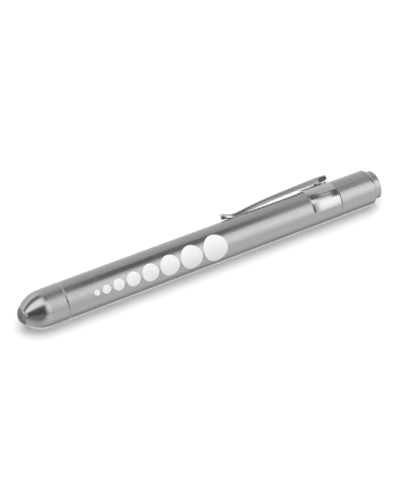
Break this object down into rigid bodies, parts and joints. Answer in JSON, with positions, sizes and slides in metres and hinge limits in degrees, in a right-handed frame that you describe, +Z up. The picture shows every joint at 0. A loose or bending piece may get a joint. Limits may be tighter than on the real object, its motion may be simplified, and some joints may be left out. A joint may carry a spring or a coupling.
{
  "type": "diagnostic pen torch",
  "caption": "Slim aluminium diagnostic pen torch with an ogive lens head, screwed head and tail, a spring pocket clip and a push-button in the tail.",
  "frame": {"origin": "on the axis, at the seam between the barrel and the tail sleeve, where the tail collar's wall starts", "axes": "+X along the axis from the lens to the push-button, +Z up with the torch lying down, the pocket clip 42.7 degrees above +Y"},
  "size_m": [0.138, 0.0148, 0.0145],
  "materials": {
    "satin_aluminium": "satin, brushed along the barrel",
    "polished_aluminium": "turned and polished",
    "turned_aluminium": "fine turned",
    "chrome_clip": "bright chrome plate",
    "lens_glass": "clear, polished",
    "led_epoxy": "water clear epoxy",
    "mirror_cone": "vacuum-metallised",
    "brass_contact": "bright, lightly tarnished",
    "tinned_wire": "tinned",
    "spring_steel": "bright drawn wire",
    "circuit_board": "white solder mask",
    "black_insulator": "moulded, matte",
    "white_switch_plastic": "moulded, matte",
    "cell_steel": "nickel plated",
    "cell_mix": "pressed powder, dark grey",
    "cell_seal": "moulded nylon",
    "cell_jacket": "printed film, gloss"
  },
  "bodies": {
    "barrel": {"barrel": "satin_aluminium", "clip_band": "chrome_clip", "front_cell_can": "cell_steel", "front_cell_core": "cell_mix", "front_cell_seal": "cell_seal", "front_cell_cap": "cell_steel", "front_cell_jacket": "cell_jacket", "rear_cell_can": "cell_steel", "rear_cell_core": "cell_mix", "rear_cell_seal": "cell_seal", "rear_cell_cap": "cell_steel", "rear_cell_jacket": "cell_jacket"},
    "lamp": {"lamp_holder": "brass_contact", "lamp_insulator": "black_insulator", "lamp_contact": "brass_contact", "lamp_board": "circuit_board", "led_body": "led_epoxy", "led_leads": "tinned_wire"},
    "head": {"head_cap": "polished_aluminium", "front_lens": "lens_glass", "lens_retaining_ring": "turned_aluminium", "reflector": "mirror_cone"},
    "battery_contact": {"contact_cup": "brass_contact", "contact_spring": "spring_steel"},
    "tail": {"tail_sleeve": "turned_aluminium", "tail_bushing": "turned_aluminium", "switch_body": "white_switch_plastic", "switch_terminal": "brass_contact", "return_spring": "spring_steel"},
    "button": {"push_button": "turned_aluminium", "switch_stem": "white_switch_plastic", "switch_bridge": "brass_contact"},
    "clip_arm": {"clip_arm": "chrome_clip"}
  },
  "joints": [
    {"name": "head_slide", "type": "slide", "parent": "barrel", "child": "lamp", "axis": [-1, 0, 0], "range_m": [0, 0.00375]},
    {"name": "head_turn", "type": "hinge", "parent": "lamp", "child": "head", "pos_m": [-0.105, 0, 0], "axis": [-1, 0, 0], "range_deg": [0, 1800.01]},
    {"name": "tail_slide", "type": "slide", "parent": "barrel", "child": "battery_contact", "axis": [1, 0, 0], "range_m": [0, 0.00375], "deforming": ["contact_spring"]},
    {"name": "tail_turn", "type": "hinge", "parent": "battery_contact", "child": "tail", "pos_m": [0, 0, 0], "axis": [1, 0, 0], "range_deg": [0, 1800.01]},
    {"name": "button_press", "type": "slide", "parent": "tail", "child": "button", "axis": [-1, 0, 0], "range_m": [0, 0.0018], "stiffness_N_per_m": 900, "springref_m": -0.0025, "deforming": ["return_spring"]},
    {"name": "clip_flex", "type": "hinge", "parent": "barrel", "child": "clip_arm", "pos_m": [-0.001, 0.00566, 0.00522], "axis": [0, 0.6782, -0.7349], "range_deg": [0, 6], "stiffness_Nm_per_rad": 1.7, "springref_deg": -3.72}
  ],
  "couplings": [
    {"joint": "head_turn", "follows": "head_slide", "rad_per_m": 8377.6},
    {"joint": "tail_turn", "follows": "tail_slide", "rad_per_m": 8377.6}
  ]
}
